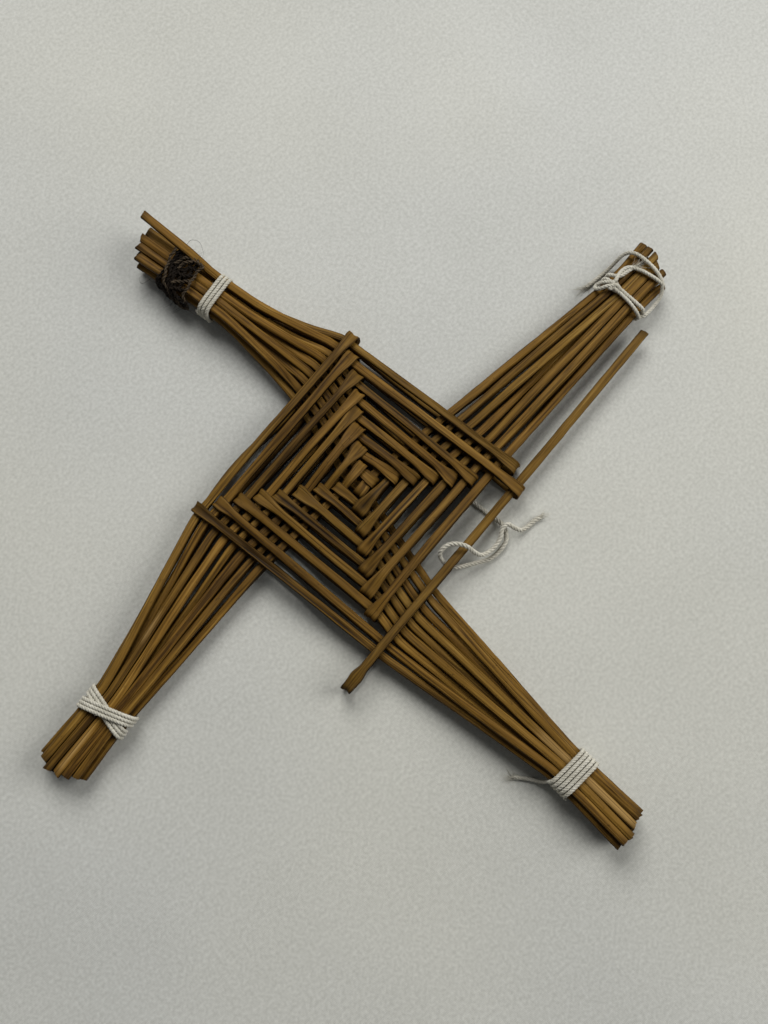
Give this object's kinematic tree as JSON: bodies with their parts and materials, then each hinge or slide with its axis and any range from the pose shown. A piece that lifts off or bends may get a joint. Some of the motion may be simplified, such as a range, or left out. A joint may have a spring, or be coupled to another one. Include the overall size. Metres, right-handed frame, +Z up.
{
  "type": "brigid cross",
  "caption": "Hand-woven cross of folded dried rushes with a square spiral weave, arms tied off with cotton twine, a loose sliding rush and a slack hanging string.",
  "frame": {"origin": "under the middle of the weave, on the plane on which the back of the weave lies", "axes": "+Z up out of the face of the cross; +X along the right arm and +Y along the top arm, which the weave is turned twelve degrees against"},
  "size_m": [0.2474, 0.2441, 0.013],
  "materials": {
    "rush": "dried rush, satin, streaked",
    "loose_rush": "dried rush, satin, streaked",
    "twine": "matt cotton",
    "wool": "matt fuzzy wool"
  },
  "bodies": {
    "cross": {"core_rush": "rush", "right_rush_1": "rush", "right_rush_2": "rush", "right_rush_3": "rush", "right_rush_4": "rush", "right_rush_5": "rush", "right_rush_6": "rush", "right_rush_7": "rush", "top_rush_1": "rush", "top_rush_2": "rush", "top_rush_3": "rush", "top_rush_4": "rush", "top_rush_5": "rush", "top_rush_6": "rush", "top_rush_7": "rush", "top_rush_8": "rush", "left_rush_1": "rush", "left_rush_2": "rush", "left_rush_3": "rush", "left_rush_4": "rush", "left_rush_5": "rush", "left_rush_6": "rush", "left_rush_7": "rush", "left_rush_8": "rush", "bottom_rush_1": "rush", "bottom_rush_2": "rush", "bottom_rush_3": "rush", "bottom_rush_4": "rush", "bottom_rush_5": "rush", "bottom_rush_6": "rush", "bottom_rush_7": "rush", "bottom_rush_8": "rush", "right_tie": "twine", "top_tie": "twine", "left_tie": "twine", "bottom_tie": "twine", "dark_yarn": "wool", "hanging_string": "twine"},
    "loose": {"loose_rush": "loose_rush"}
  },
  "joints": [
    {"name": "loose_slide", "type": "slide", "parent": "cross", "child": "loose", "axis": [0.9781, 0.2079, 0], "range_m": [0, 0.01]}
  ]
}
